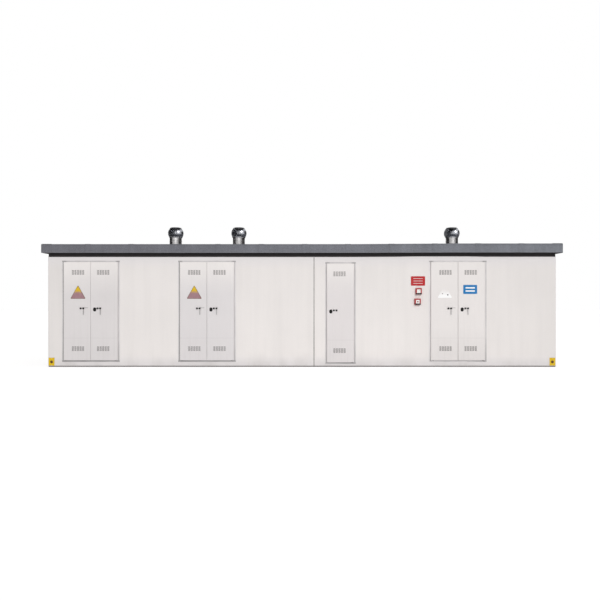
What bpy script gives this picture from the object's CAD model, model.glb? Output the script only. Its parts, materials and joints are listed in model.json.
"""Looks of a prefabricated substation: finishes, roof felt, vent and door trim, plates, and the studio."""

import json
import math
from collections import namedtuple

import bmesh
import bpy
from bpy.props import FloatProperty, FloatVectorProperty, IntProperty, PointerProperty
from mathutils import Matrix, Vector, noise

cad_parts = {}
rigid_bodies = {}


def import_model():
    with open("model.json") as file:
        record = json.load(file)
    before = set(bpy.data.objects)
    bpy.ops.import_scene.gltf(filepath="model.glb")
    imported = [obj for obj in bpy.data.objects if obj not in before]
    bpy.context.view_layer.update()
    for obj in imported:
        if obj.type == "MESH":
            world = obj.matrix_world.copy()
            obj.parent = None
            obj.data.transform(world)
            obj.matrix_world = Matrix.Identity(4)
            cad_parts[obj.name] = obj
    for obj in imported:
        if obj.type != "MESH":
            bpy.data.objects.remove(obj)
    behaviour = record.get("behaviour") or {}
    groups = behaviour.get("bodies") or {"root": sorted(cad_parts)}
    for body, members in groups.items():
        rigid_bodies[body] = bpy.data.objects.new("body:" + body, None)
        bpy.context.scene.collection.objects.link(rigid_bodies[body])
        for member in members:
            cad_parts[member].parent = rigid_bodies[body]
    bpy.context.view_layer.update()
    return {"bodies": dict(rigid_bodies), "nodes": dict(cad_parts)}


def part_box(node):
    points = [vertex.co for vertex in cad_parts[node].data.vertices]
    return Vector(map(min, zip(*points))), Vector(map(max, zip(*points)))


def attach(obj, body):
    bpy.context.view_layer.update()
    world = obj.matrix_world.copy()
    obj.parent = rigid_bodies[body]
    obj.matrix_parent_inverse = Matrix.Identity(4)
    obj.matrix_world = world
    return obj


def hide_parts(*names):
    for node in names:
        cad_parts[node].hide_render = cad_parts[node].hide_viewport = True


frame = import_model()

bl_info = {
    "name": "Prefabricated substation looks",
    "version": (1, 0, 0),
    "blender": (4, 5, 0),
    "location": "View3D > Sidebar > Substation",
    "description": "Finishes, felt, trim and plates for a prefabricated substation, and its studio",
    "category": "Object",
}

ROOT = "building"
LEAF_BODIES = [name for name in frame["bodies"] if name.startswith("door_")]
VENT_BODIES = [name for name in frame["bodies"] if name.startswith("vent_head_")]
DOOR_NUMBERS = sorted({name.split("_")[1] for name in LEAF_BODIES})
ROOF_LOW, ROOF_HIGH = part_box("roof_felt")
WALL_LOW, WALL_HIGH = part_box("rear_wall_left")
WALL_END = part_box("right_end_wall")[1].x
WALL_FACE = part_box("front_wall_2")[0].y
SMOOTH_ANGLE = math.radians(35.0)

# Height of a domed rivet as a share of its radius.
RIVET_RISE = 0.6

# Leaves whose hinge seal has gone black, and leaves whose gasket is as pale as the frame.
AGED_SEALS = ("door_1_left", "door_2_left")
PALE_GASKETS = ("door_1_left",)

# How strong the tarnish is on each vent head, from 0 to 1.
HEAD_TARNISH = {"1": 0.7, "2": 0.6, "3": 0.15}

# How light the places on each door are beside their plain colour: under 1 is grimy, over 1 is bleached.
Wear = namedtuple("Wear", "left_jamb right_jamb threshold leaf_foot leaf_top soot")
DOOR_WEAR = {
    "1": Wear(0.92, 1.1, 0.75, 0.975, 1.03, 0.95),
    "2": Wear(0.98, 1.1, 0.75, 0.975, 1.045, 0.95),
    "3": Wear(1.0, 1.0, 0.85, 0.97, 1.045, 0.8),
    "4": Wear(1.2, 1.0, 1.0, 0.91, 1.0, 0.75),
}


def colour(name, red, green, blue):
    """A colour that a user can change."""
    return FloatVectorProperty(
        name=name, description=f"Base colour of the {name.lower()}", subtype="COLOR", size=3,
        min=0.0, max=1.0, default=(red, green, blue))


def length(name, description, default):
    """A length in metres that a user can change."""
    return FloatProperty(
        name=name, description=description, subtype="DISTANCE", unit="LENGTH", default=default, precision=4)


def angle(name, description, degrees):
    """An angle that a user can change."""
    return FloatProperty(
        name=name, description=description, subtype="ANGLE", unit="ROTATION", default=math.radians(degrees))


def number(name, description, default):
    """A plain number that a user can change."""
    return FloatProperty(name=name, description=description, default=default)


def count(name, description, default):
    """A number of copies that a user can change."""
    return IntProperty(name=name, description=description, min=1, default=default)


class SUBSTATION_PG_colours(bpy.types.PropertyGroup):
    """Colours of the finishes"""

    wall: colour("Walls", 0.795, 0.757, 0.738)
    concrete: colour("Floor and slabs", 0.34, 0.33, 0.31)
    cool_wall: colour("Wall edges", 0.772, 0.742, 0.752)
    strip: colour("Bitumen strips", 0.011, 0.009, 0.01)
    filler: colour("Joint filler", 0.47, 0.45, 0.44)
    felt_left: colour("Felt at the left end", 0.15, 0.15, 0.17)
    felt_right: colour("Felt at the right end", 0.2, 0.21, 0.236)
    leaf_1: colour("Leaves of door 1", 0.69, 0.658, 0.655)
    leaf_2: colour("Leaves of door 2", 0.715, 0.683, 0.685)
    leaf_3: colour("Leaf of door 3", 0.735, 0.695, 0.692)
    leaf_4: colour("Leaves of door 4", 0.785, 0.745, 0.73)
    door_frame: colour("Door frames", 0.62, 0.595, 0.595)
    neck: colour("Vent necks", 0.5, 0.49, 0.49)
    rotor: colour("Vent heads", 0.47, 0.48, 0.515)
    zinc: colour("Screws and spindles", 0.36, 0.35, 0.35)
    handle: colour("Handles", 0.4, 0.385, 0.38)
    black: colour("Locks", 0.006, 0.0055, 0.0055)
    rubber: colour("Aged rubber", 0.035, 0.033, 0.032)
    screen: colour("Grille screens", 0.02, 0.019, 0.019)
    call_red: colour("Call boxes", 0.4, 0.008, 0.011)
    call_white: colour("Call box panels", 0.86, 0.85, 0.82)
    aluminium: colour("Sheet plates", 0.6, 0.6, 0.6)
    yellow: colour("Yellow enamel", 0.7, 0.46, 0.004)
    mauve: colour("Mauve enamel", 0.34, 0.19, 0.21)
    pale: colour("Pale enamel", 0.72, 0.6, 0.6)
    white: colour("White enamel", 0.95, 0.945, 0.94)
    red: colour("Red enamel", 0.47, 0.006, 0.009)
    dark_red: colour("Dark red enamel", 0.02, 0.004, 0.005)
    blue: colour("Blue enamel", 0.001, 0.175, 0.45)
    brown: colour("Brown enamel", 0.1, 0.048, 0.002)


class SUBSTATION_PG_roof(bpy.types.PropertyGroup):
    """Sizes of the roof felt"""

    sheets: count("Sheets", "Felt sheets side by side over the roof", 12)
    sheet_t: length("Sheet thickness", "Thickness of one felt sheet", 0.003)
    lap: length("Lap", "Width over which a sheet covers the one before it", 0.1)
    wave: length("Wave", "How far a sheet's edge strays from a straight line", 0.007)
    ripple: length("Ripple", "How deep the felt dips between its bonded spots", 0.0009)
    chamfer: length("Chamfer", "Chamfer along the roof's upper edges", 0.01)
    end_fold: length("End fold", "Length of the end sheets that lies on the roof's top", 0.22)
    hem: length("Hem", "How far the lower edge of the felt strays upwards", 0.003)
    kerb: length("Kerb", "Height of the low kerb under the felt along the front edge at the right end", 0.015)
    kerb_w: length("Kerb width", "Width over which the kerb runs out towards the rear", 0.3)
    kerb_start: length("Kerb start", "Place along the roof where the kerb begins", 1.1)
    kerb_run: length("Kerb run", "Length over which the kerb grows to its full height", 2.2)
    kerb_hem: number("Kerb hem", "Share of the kerb's height by which the felt's hem is pulled up", 0.45)
    edge: length("Edge", "Width of the strip along a sheet's edge that follows the edge's line", 0.012)
    clear: length("Clear strip", "Distance of a sheet's inner lines from its laps", 0.03)
    clear_end: length("Clear end", "Width along a sheet's right edge that has no inner line", 0.02)
    ring: length("Ring", "Distance from an opening to the next line of a sheet", 0.07)
    level: length("Level felt", "Width of the level felt round an opening", 0.08)
    collar: length("Collar", "Half width of the raised felt round a vent", 0.3)
    duct: length("Duct", "Half width of the opening in the felt under a vent", 0.145)


class SUBSTATION_PG_vents(bpy.types.PropertyGroup):
    """Sizes of the trim on the vents"""

    flange_r: length("Flange", "Radius of the flange on the roof", 0.215)
    flange_t: length("Flange thickness", "Thickness of the flange", 0.004)
    screws: count("Flange screws", "Screws round each flange", 12)
    screw_ring: length("Screw ring", "Radius of the ring of flange screws", 0.197)
    screw_r: length("Screw head", "Radius of a flange screw's washer", 0.011)
    bead: length("Sealant bead", "Radius of the sealant round a flange", 0.008)
    rivets: count("Head rivets", "Rivets round a head's ring, one for each vane", 24)
    rivet_r: length("Rivet", "Radius of a head rivet", 0.0065)
    ring_r: length("Ring", "Outer radius of a head's lower ring", 0.152)
    ring_mid: length("Ring height", "Height of the rivets above a head's lower edge", 0.013)


class SUBSTATION_PG_doors(bpy.types.PropertyGroup):
    """Sizes of the trim on the doors"""

    columns: count("Columns", "Columns of louvres in a grille", 5)
    rows: count("Rows", "Rows of louvres in a grille", 5)
    column_step: length("Column step", "Distance between columns of louvres", 0.055)
    row_step: length("Row step", "Distance between rows of louvres", 0.021)
    low_grille: length("Low grille", "Height of the lower grille above the leaf's lower edge", 0.248)
    high_grille: length("High grille", "Depth of the upper grille below the leaf's upper edge", 0.222)
    shift: length("Shift", "How far grilles lie from the leaf's middle, towards its free edge", 0.024)
    lip_w: length("Lip width", "Width of a louvre's lip", 0.046)
    lip_h: length("Lip height", "Height of a louvre's lip", 0.0032)
    lip_out: length("Lip depth", "How far a louvre's lip stands out", 0.003)
    lip_t: length("Lip sheet", "Thickness of a louvre's lip", 0.0014)
    lip_rise: length("Lip rise", "Height of a lip's foot above the middle of its slot", 0.0074)
    seam_z: length("Seam", "Height of the faint seam across a leaf above its lower edge", 0.475)
    skin: length("Skin", "Thickness of a leaf's outer skin", 0.005)
    screen_w: length("Screen width", "Width of the insect screen behind a grille", 0.29)
    screen_h: length("Screen height", "Height of the insect screen behind a grille", 0.118)
    screen_t: length("Screen thickness", "Thickness of an insect screen and its hem", 0.003)
    screen_hem: length("Screen hem", "Width of the hem round an insect screen", 0.006)
    screen_bevel: length("Screen bevel", "Bevel along the edge of an insect screen's hem", 0.0004)
    screen_slope: length("Screen slope", "Width of the slope from the hem down to the wires", 0.001)
    screen_r: length("Screen corner", "Radius of an insect screen's corners", 0.008)
    gasket_w: length("Gasket width", "How far the gasket stands into the gap between two leaves", 0.005)
    gasket_d: length("Gasket depth", "Depth of the gasket between two leaves", 0.022)
    gasket_in: length("Gasket place", "Distance of the gasket's middle behind the leaf's face", 0.018)
    gasket_end: length("Gasket end", "Distance of the gasket's ends from the leaf's ends", 0.012)
    seal_t: length("Seal thickness", "How far a jamb's seal stands towards its leaf", 0.0055)
    seal_d: length("Seal depth", "Depth of a jamb's seal behind the wall's face", 0.016)
    seal_out: length("Seal reach", "How far a jamb's seal stands out of the wall's face", 0.003)
    hinge_gap: length("Hinge gap", "Gap between a jamb and the hinge edge of its leaf", 0.008)
    brush_top: length("Upper brush", "Height of the brush on a leaf's upper edge", 0.0045)
    brush_foot: length("Lower brush", "Height of the brush under a leaf's lower edge", 0.009)
    brush_d: length("Brush depth", "Depth of the brushes on a leaf's edges", 0.014)
    brush_back: length("Brush setback", "Distance of the brushes behind a leaf's face", 0.003)
    brush_in: length("Brush start", "Distance of the brushes from a leaf's hinge edge", 0.07)
    handle_z: length("Handle height", "Height of the handle's studs above the leaf's lower edge", 1.112)
    stud_near: length("Near stud", "Distance of the nearer stud from the leaf's free edge", 0.147)
    stud_gap: length("Stud gap", "Distance between a handle's studs", 0.06)
    stud_out: length("Stud length", "How far a stud stands out of the leaf", 0.02)
    cap_r: length("Stud cap", "Radius of the cap on a stud", 0.0195)
    cap_h: length("Cap height", "Height of the cap on a stud", 0.009)
    cap_sink: length("Cap sink", "How far a cap reaches back over its stud", 0.003)
    rose_w: length("Lock rose width", "Width of the oval rose behind a lock", 0.066)
    rose_h: length("Lock rose height", "Height of the oval rose behind a lock", 0.086)
    rose_t: length("Lock rose thickness", "Thickness of the oval rose behind a lock", 0.0045)
    rose_bevel: length("Lock rose bevel", "Bevel along the edge of the oval rose", 0.0015)
    anchors: count("Frame anchors", "Anchor caps up each jamb", 5)
    anchor_r: length("Anchor cap", "Radius of an anchor cap", 0.007)
    anchor_in: length("Anchor place", "Distance of the anchors from a frame's sides", 0.014)
    anchor_end: length("Anchor end", "Distance of the outer anchors from a frame's ends", 0.2)


class SUBSTATION_PG_plates(bpy.types.PropertyGroup):
    """Sizes and places of the plates"""

    sheet_t: length("Sheet", "Thickness of a plate", 0.003)
    bevel: length("Bevel", "Bevel along a plate's edge", 0.001)
    print_t: length("Enamel", "Height of an enamel field", 0.0006)
    print_in: length("Enamel sink", "How far an enamel field reaches into what it lies on", 0.0002)
    corner_r: length("Corner", "Radius of the corners of the red and the yellow plates", 0.008)
    rim: length("Rim", "Width of the bare rim round the enamel of the red and the yellow plates", 0.003)
    rivet_r: length("Rivet", "Radius of a plate's rivets", 0.005)
    dark_rivet_h: length("Dark rivet", "Height of the bleached plate's dark rivets", 0.004)
    triangle_w: length("Triangle width", "Width of a triangular plate", 0.327)
    triangle_h: length("Triangle height", "Height of a triangular plate", 0.29)
    triangle_z: length("Triangle foot", "Height of a triangular plate above the leaf's lower edge", 1.318)
    triangle_r: length("Triangle corner", "Radius of a triangular plate's corners", 0.012)
    triangle_rim: length("Triangle rim", "Width of the bare rim round a triangular plate's enamel", 0.007)
    foot_rivet_x: length("Foot rivets", "Distance of a triangle's lower rivets from its middle", 0.128)
    foot_rivet_z: length("Foot rivet height", "Height of a triangle's lower rivets above its foot", 0.02)
    tip_rivet_z: length("Tip rivet height", "Height of a triangle's upper rivet above its foot", 0.24)
    fade_z: length("Fade", "Height above a triangle's foot at which mauve turns to yellow", 0.15)
    fade_h: length("Fade height", "Height over which the enamel changes its colour", 0.07)
    bleached_w: length("Bleached width", "Width of the bleached plate", 0.315)
    bleached_h: length("Bleached height", "Height of the bleached plate", 0.282)
    bleached_shift: length("Bleached shift", "How far the bleached plate lies to the left", 0.014)
    bleached_rise: length("Bleached rise", "How far the bleached plate lies above the others", 0.018)
    stripe_w: length("Stripe width", "Width of the plain pale stripes on the blue and the red plate", 0.2)
    stripe_r: number("Stripe corner", "Radius of a stripe's corners as a share of its height", 0.3)
    blue_stripe_h: length("Blue stripe", "Height of each of the blue plate's stripes", 0.028)
    red_stripe_h: length("Red stripe", "Height of each of the red plate's stripes", 0.0115)
    blue_w: length("Blue width", "Width of the blue plate", 0.305)
    blue_h: length("Blue height", "Height of the blue plate", 0.202)
    blue_z: length("Blue foot", "Height of the blue plate above the leaf's lower edge", 1.417)
    blue_r: length("Blue corner", "Radius of the blue plate's corners", 0.01)
    blue_rim: length("Blue rim", "Width of the bare rim round the blue enamel", 0.004)
    blue_rivet_in: length("Blue rivets", "Distance of the rivets from the blue plate's edges", 0.014)
    blue_shift: length("Blue shift", "How far the blue plate lies to the left of the grilles' middle", 0.0105)
    red_w: length("Red width", "Width of the red plate", 0.311)
    red_h: length("Red height", "Height of the red plate", 0.209)
    red_rise: length("Red rise", "Height of the red plate above the upper call box", 0.049)
    red_rivet_in: length("Red rivets", "Distance of the rivets from the red plate's edges", 0.013)
    red_shift: length("Red shift", "Distance of the red plate's middle from the upper panel's edge", 0.046)
    corner_w: length("Corner width", "Width of a corner plate", 0.131)
    corner_h: length("Corner height", "Height of a corner plate", 0.174)
    corner_in: length("Corner setback", "Distance of a corner plate from the end of the wall", 0.013)
    corner_z: length("Corner foot", "Height of a corner plate above the wall's foot", 0.002)
    corner_rivet_in: length("Corner rivets", "Distance of a corner plate's rivets from its ends", 0.012)
    stud_r: length("Corner stud", "Radius of the stud on a corner plate", 0.031)
    stud_h: length("Corner stud height", "Height of the stud on a corner plate", 0.008)
    stud_z: number("Corner stud place", "Height of the stud as a share of a corner plate's height", 0.47)


class SUBSTATION_PG_call_boxes(bpy.types.PropertyGroup):
    """Sizes of the trim on the call boxes"""

    panel_w: length("Panel width", "Width of a white panel", 0.078)
    panel_h: length("Panel height", "Height of a white panel", 0.082)
    screw_r: length("Screw", "Radius of a screw in a box's rim", 0.0055)
    screw_h: length("Screw height", "Height of a screw in a box's rim", 0.003)
    lip_h: length("Lip height", "Height of the dark lip along a box's lower edge", 0.03)
    lip_t: length("Lip thickness", "Thickness of the dark lip", 0.003)
    lip_bevel: length("Lip bevel", "Bevel along the edge of the dark lip", 0.001)
    ring_r: length("Ring", "Radius of the steel ring round the button", 0.017)
    ring_h: length("Ring height", "Height of the steel ring", 0.004)
    button_r: length("Button", "Radius of the red button", 0.0125)
    button_h: length("Button height", "Height of the red button", 0.0055)
    button_out: length("Button place", "Distance of the button's foot from its panel", 0.003)
    stud_r: length("Panel stud", "Radius of the stud on the upper panel", 0.007)
    stud_h: length("Panel stud height", "Height of the stud on the upper panel", 0.003)
    stud_x: length("Panel stud side", "Distance of the stud from the panel's middle, to the right", 0.012)
    stud_z: length("Panel stud rise", "Distance of the stud from the panel's middle, upwards", 0.01)


class SUBSTATION_PG_stage(bpy.types.PropertyGroup):
    """Camera and light"""

    camera_x: length("Camera side", "Sideways place of the camera", -0.043)
    camera_y: length("Camera distance", "Place of the camera in front of the building's middle", -13.6)
    camera_z: length("Camera height", "Height of the camera", 1.438)
    camera_reach: length("Camera reach", "Distance to which the camera sees", 200.0)
    lens: number("Lens", "Focal length in millimetres on a 36 mm sensor", 34.52)
    sun: number("Sun", "Strength of the sun", 1.345)
    sun_side: angle("Sun side", "Angle of the sun to the right of the camera", 10.0)
    sun_height: angle("Sun height", "Angle of the sun above the ground", 26.0)
    sun_width: angle("Sun width", "Angle that the sun spans, which softens its shadows", 20.0)
    sky: number("Sky", "Strength of the sky's light", 0.57)
    card_x: length("Card distance", "Distance of the dark cards to the left and the right", 30.0)
    card_front: length("Card front", "Reach of the dark cards towards the camera", 19.0)
    card_back: length("Card back", "Reach of the dark cards behind the building", 50.0)
    card_z: length("Card foot", "Height of the dark cards' lower edges", 0.05)
    card_h: length("Card height", "Height of the dark cards' upper edges", 22.0)
    top_card_z: length("Top card height", "Height of the dark card overhead", 60.0)
    top_card_left: length("Top card left", "Reach of the overhead card to the left", 180.0)
    top_card_right: length("Top card right", "Reach of the overhead card to the right", 26.0)
    top_card_y: length("Top card depth", "Reach of the overhead card to the front and the back", 70.0)
    floor_size: length("Floor", "Width of the floor", 120.0)
    floor_white: number("Floor white", "Reflectance of the floor", 0.86)
    floor_glow: number("Floor glow", "White added where the camera sees the floor", 0.39)


class SUBSTATION_PG_settings(bpy.types.PropertyGroup):
    """All settings of the substation"""

    colours: PointerProperty(type=SUBSTATION_PG_colours)
    roof: PointerProperty(type=SUBSTATION_PG_roof)
    vents: PointerProperty(type=SUBSTATION_PG_vents)
    doors: PointerProperty(type=SUBSTATION_PG_doors)
    plates: PointerProperty(type=SUBSTATION_PG_plates)
    call_boxes: PointerProperty(type=SUBSTATION_PG_call_boxes)
    stage: PointerProperty(type=SUBSTATION_PG_stage)


class Finish:
    """One procedural finish, built up step by step on Object coordinates."""

    def __init__(self, name):
        self.material = bpy.data.materials.new(name)
        self.material.use_nodes = True
        self.nodes = self.material.node_tree.nodes
        self.links = self.material.node_tree.links
        self.surface = self.nodes["Principled BSDF"]
        self.place = self.add("ShaderNodeTexCoord").outputs["Object"]
        self.tint = None
        self.normal = None

    def add(self, kind, inputs=(), **settings):
        """A node with its settings, and with values or other nodes' sockets on its inputs."""
        node = self.nodes.new(kind)
        for key, value in settings.items():
            setattr(node, key, value)
        for key, value in dict(inputs).items():
            self.feed(node.inputs[key], value)
        return node

    def feed(self, socket, value):
        """Links a socket to an input, or sets the input's own value."""
        if isinstance(value, bpy.types.NodeSocket):
            self.links.new(value, socket)
        elif socket.type == "RGBA":
            socket.default_value = (*value, 1.0)
        else:
            socket.default_value = value

    def start(self, base, roughness, metallic=0.0, specular=0.5):
        """The plain surface under the pattern."""
        self.tint = tuple(base)
        self.material.diffuse_color = (*base, 1.0)
        self.surface.inputs["Roughness"].default_value = roughness
        self.surface.inputs["Metallic"].default_value = metallic
        self.surface.inputs["Specular IOR Level"].default_value = specular

    def axis(self, letter):
        """One coordinate in metres."""
        return self.add("ShaderNodeSeparateXYZ", {"Vector": self.place}).outputs[letter]

    def noise(self, scale, detail=3.0, rough=0.55, stretch=(1.0, 1.0, 1.0)):
        """Soft noise, finer along an axis with a larger stretch."""
        spread = self.add("ShaderNodeMapping", {"Vector": self.place, "Scale": stretch}).outputs["Vector"]
        inputs = {"Vector": spread, "Scale": scale, "Detail": detail, "Roughness": rough}
        return self.add("ShaderNodeTexNoise", inputs).outputs[0]

    def cells(self, scale):
        """A random value for each small cell."""
        cells = self.add("ShaderNodeTexVoronoi", {"Vector": self.place, "Scale": scale})
        return self.add("ShaderNodeSeparateColor", {"Color": cells.outputs["Color"]}).outputs[0]

    def span(self, value, low, high, start=0.0, end=1.0):
        """Maps a value from one range to another, held at both ends."""
        inputs = {"Value": value, "From Min": low, "From Max": high, "To Min": start, "To Max": end}
        return self.add("ShaderNodeMapRange", inputs).outputs["Result"]

    def waves(self, letter, scale):
        """Fine even bands across one axis."""
        inputs = {"Vector": self.place, "Scale": scale}
        return self.add("ShaderNodeTexWave", inputs, bands_direction=letter).outputs["Fac"]

    def calc(self, operation, first, second):
        """One sum on two values."""
        return self.add("ShaderNodeMath", {0: first, 1: second}, operation=operation).outputs[0]

    def times(self, first, second):
        """The product of two values."""
        return self.calc("MULTIPLY", first, second)

    def away(self, value, middle):
        """How far a value is from a middle, on either side."""
        return self.calc("ABSOLUTE", self.calc("SUBTRACT", value, middle), 0.0)

    def attribute(self, name):
        """A number that the mesh carries at its points."""
        return self.add("ShaderNodeAttribute", attribute_name=name).outputs["Fac"]

    def shade(self, factor):
        """Makes the colour lighter or darker."""
        node = self.add("ShaderNodeVectorMath", {0: self.tint, "Scale": factor}, operation="SCALE")
        self.tint = node.outputs[0]

    def paint(self, share, other):
        """Mixes another colour in."""
        node = self.add("ShaderNodeMix", data_type="RGBA")
        self.feed(node.inputs[0], share)
        self.feed(node.inputs[6], self.tint)
        self.feed(node.inputs[7], other)
        self.tint = node.outputs[2]

    def relief(self, height, depth, strength=1.0):
        """Adds a bump of that depth in metres."""
        inputs = {"Height": height, "Distance": depth, "Strength": strength}
        if self.normal:
            inputs["Normal"] = self.normal
        self.normal = self.add("ShaderNodeBump", inputs).outputs["Normal"]

    def gloss(self, roughness):
        """Lets the roughness vary."""
        self.feed(self.surface.inputs["Roughness"], roughness)

    def done(self):
        """Joins the colour and the bump to the surface."""
        self.feed(self.surface.inputs["Base Color"], self.tint)
        if self.normal:
            self.feed(self.surface.inputs["Normal"], self.normal)
        return self.material


def rendered_concrete(finish, colours):
    """Painted concrete walls: soft clouds, rain runs, grime at the foot, cooler edges, a fine grain."""
    finish.start(colours.wall, 0.85)
    x = finish.axis("X")
    z = finish.axis("Z")
    clouds = finish.noise(0.7, detail=5.0)
    finish.shade(finish.span(clouds, 0.3, 0.7, 0.975, 1.025))
    runs = finish.noise(1.0, detail=5.0, stretch=(6.0, 6.0, 0.35))
    finish.shade(finish.span(runs, 0.4, 0.75, 1.008, 0.965))
    finish.shade(finish.span(x, -WALL_END, -WALL_END + 1.3, 0.935, 1.0))
    finish.shade(finish.span(x, WALL_END - 1.0, WALL_END, 1.0, 0.975))
    bleached_middle = 0.6
    finish.shade(finish.span(finish.away(x, bleached_middle), 1.5, 2.7, 1.03, 1.0))
    finish.paint(finish.span(z, WALL_HIGH.z - 0.25, WALL_HIGH.z - 0.03, 0.0, 0.7), colours.cool_wall)
    finish.paint(finish.span(z, WALL_LOW.z, WALL_LOW.z + 0.25, 0.7, 0.0), colours.cool_wall)
    stains = finish.span(finish.noise(2.6, detail=6.0, stretch=(1.0, 1.0, 0.5)), 0.42, 0.72)
    foot = finish.span(z, WALL_LOW.z + 0.02, WALL_LOW.z + 0.32, 1.0, 0.0)
    finish.paint(finish.times(finish.times(stains, foot), 0.3), (0.42, 0.39, 0.36))
    finish.shade(finish.span(z, WALL_LOW.z, WALL_LOW.z + 0.2, 0.9, 1.0))
    finish.shade(finish.span(z, WALL_LOW.z, WALL_LOW.z + 0.04, 0.97, 1.0))
    smear = finish.span(z, WALL_HIGH.z - 0.006, WALL_HIGH.z - 0.004)
    smear_end = 1.2
    left_part = finish.span(x, smear_end, smear_end + 1.0, 1.0, 0.0)
    finish.paint(finish.times(smear, left_part), colours.strip)
    pits = finish.noise(70.0, detail=2.0)
    finish.shade(finish.span(pits, 0.68, 0.76, 1.0, 0.93))
    grain = finish.noise(150.0, detail=4.0)
    finish.shade(finish.span(grain, 0.3, 0.7, 0.965, 1.035))
    finish.relief(finish.noise(4.0, detail=2.0), 0.002, 0.5)
    finish.relief(grain, 0.0016, 0.9)
    finish.gloss(finish.span(clouds, 0.3, 0.7, 0.8, 0.92))


def floated_concrete(finish, colours):
    """Bare concrete: cement clouds and pores, coated dark where the roof hangs over."""
    finish.start(colours.concrete, 0.9)
    finish.shade(finish.span(finish.noise(2.0, detail=6.0), 0.3, 0.7, 0.85, 1.12))
    finish.shade(finish.span(finish.noise(90.0, detail=2.0), 0.66, 0.74, 1.0, 0.7))
    beyond_end = finish.span(finish.away(finish.axis("X"), 0.0), WALL_END - 0.02, WALL_END)
    beyond_face = finish.span(finish.away(finish.axis("Y"), 0.0), -WALL_FACE - 0.02, -WALL_FACE)
    finish.paint(finish.calc("MAXIMUM", beyond_end, beyond_face), colours.strip)
    finish.relief(finish.noise(120.0, detail=4.0), 0.0008, 0.6)


def bitumen_coat(finish, colours):
    """A black brushed coat with dusty patches, daubed here and there with the wall's paint."""
    finish.start(colours.strip, 0.72, specular=0.33)
    dust = finish.span(finish.noise(9.0, detail=6.0, stretch=(0.4, 0.4, 2.0)), 0.45, 0.75)
    finish.paint(finish.times(dust, 0.35), (0.09, 0.08, 0.078))
    x, z = finish.axis("X"), finish.axis("Z")
    finish.paint(finish.span(z, WALL_LOW.z, WALL_LOW.z + 0.02, 0.6, 0.0), (0.3, 0.28, 0.27))
    lower_edge = finish.span(finish.away(z, WALL_HIGH.z), 0.006, 0.009, 1.0, 0.0)
    daub_middle = 3.0
    daubed = finish.span(finish.away(x, daub_middle), 0.55, 0.95, 1.0, 0.0)
    finish.paint(finish.times(lower_edge, daubed), colours.cool_wall)
    finish.relief(finish.noise(60.0, detail=4.0, stretch=(0.5, 0.5, 2.0)), 0.001, 0.6)
    finish.gloss(finish.span(dust, 0.0, 1.0, 0.6, 0.9))


def joint_sealant(finish, colours):
    """Grey filler, pulled smooth, with grime that gathers towards the foot."""
    finish.start(colours.filler, 0.7)
    finish.shade(finish.span(finish.noise(14.0, detail=5.0), 0.3, 0.7, 0.82, 1.1))
    finish.shade(finish.span(finish.axis("Z"), WALL_LOW.z, WALL_HIGH.z, 0.9, 1.05))
    finish.relief(finish.noise(45.0, detail=3.0, stretch=(1.0, 1.0, 0.4)), 0.0012, 0.7)


def mineral_felt(finish, colours):
    """Slate-chip felt: bright and dark granules, bleached patches, bitumen along the laps, a worn hem."""
    finish.start(colours.felt_left, 0.93)
    x = finish.axis("X")
    z = finish.axis("Z")
    finish.paint(finish.span(x, ROOF_LOW.x, ROOF_HIGH.x), colours.felt_right)
    finish.shade(finish.span(finish.noise(1.6, detail=6.0, rough=0.62), 0.3, 0.72, 0.86, 1.14))
    runs = finish.noise(1.0, detail=5.0, stretch=(9.0, 9.0, 1.2))
    finish.shade(finish.span(runs, 0.35, 0.72, 0.94, 1.07))
    chips = finish.cells(260.0)
    finish.shade(finish.span(chips, 0.0, 1.0, 0.72, 1.28))
    finish.shade(finish.span(finish.noise(38.0, detail=3.0), 0.35, 0.7, 0.92, 1.08))
    finish.shade(finish.span(z, ROOF_HIGH.z - 0.05, ROOF_HIGH.z - 0.012, 1.0, 0.88))
    hem = finish.span(z, ROOF_LOW.z + 0.012, ROOF_LOW.z + 0.03, 1.0, 0.0)
    finish.paint(finish.times(hem, 0.12), (0.33, 0.33, 0.35))
    bleed = finish.times(finish.attribute("bleed"), finish.span(runs, 0.3, 0.6, 0.5, 1.0))
    flat = finish.span(z, ROOF_HIGH.z - 0.02, ROOF_HIGH.z - 0.005, 0.22, 0.75)
    finish.paint(finish.times(bleed, flat), (0.05, 0.048, 0.05))
    finish.relief(chips, 0.0011, 0.75)
    finish.relief(finish.noise(7.0, detail=3.0), 0.0025, 0.4)


def first_leaf_box(door):
    """The box of a door's first leaf."""
    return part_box(next(body for body in LEAF_BODIES if body.split("_")[1] == door) + "_leaf")


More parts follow.
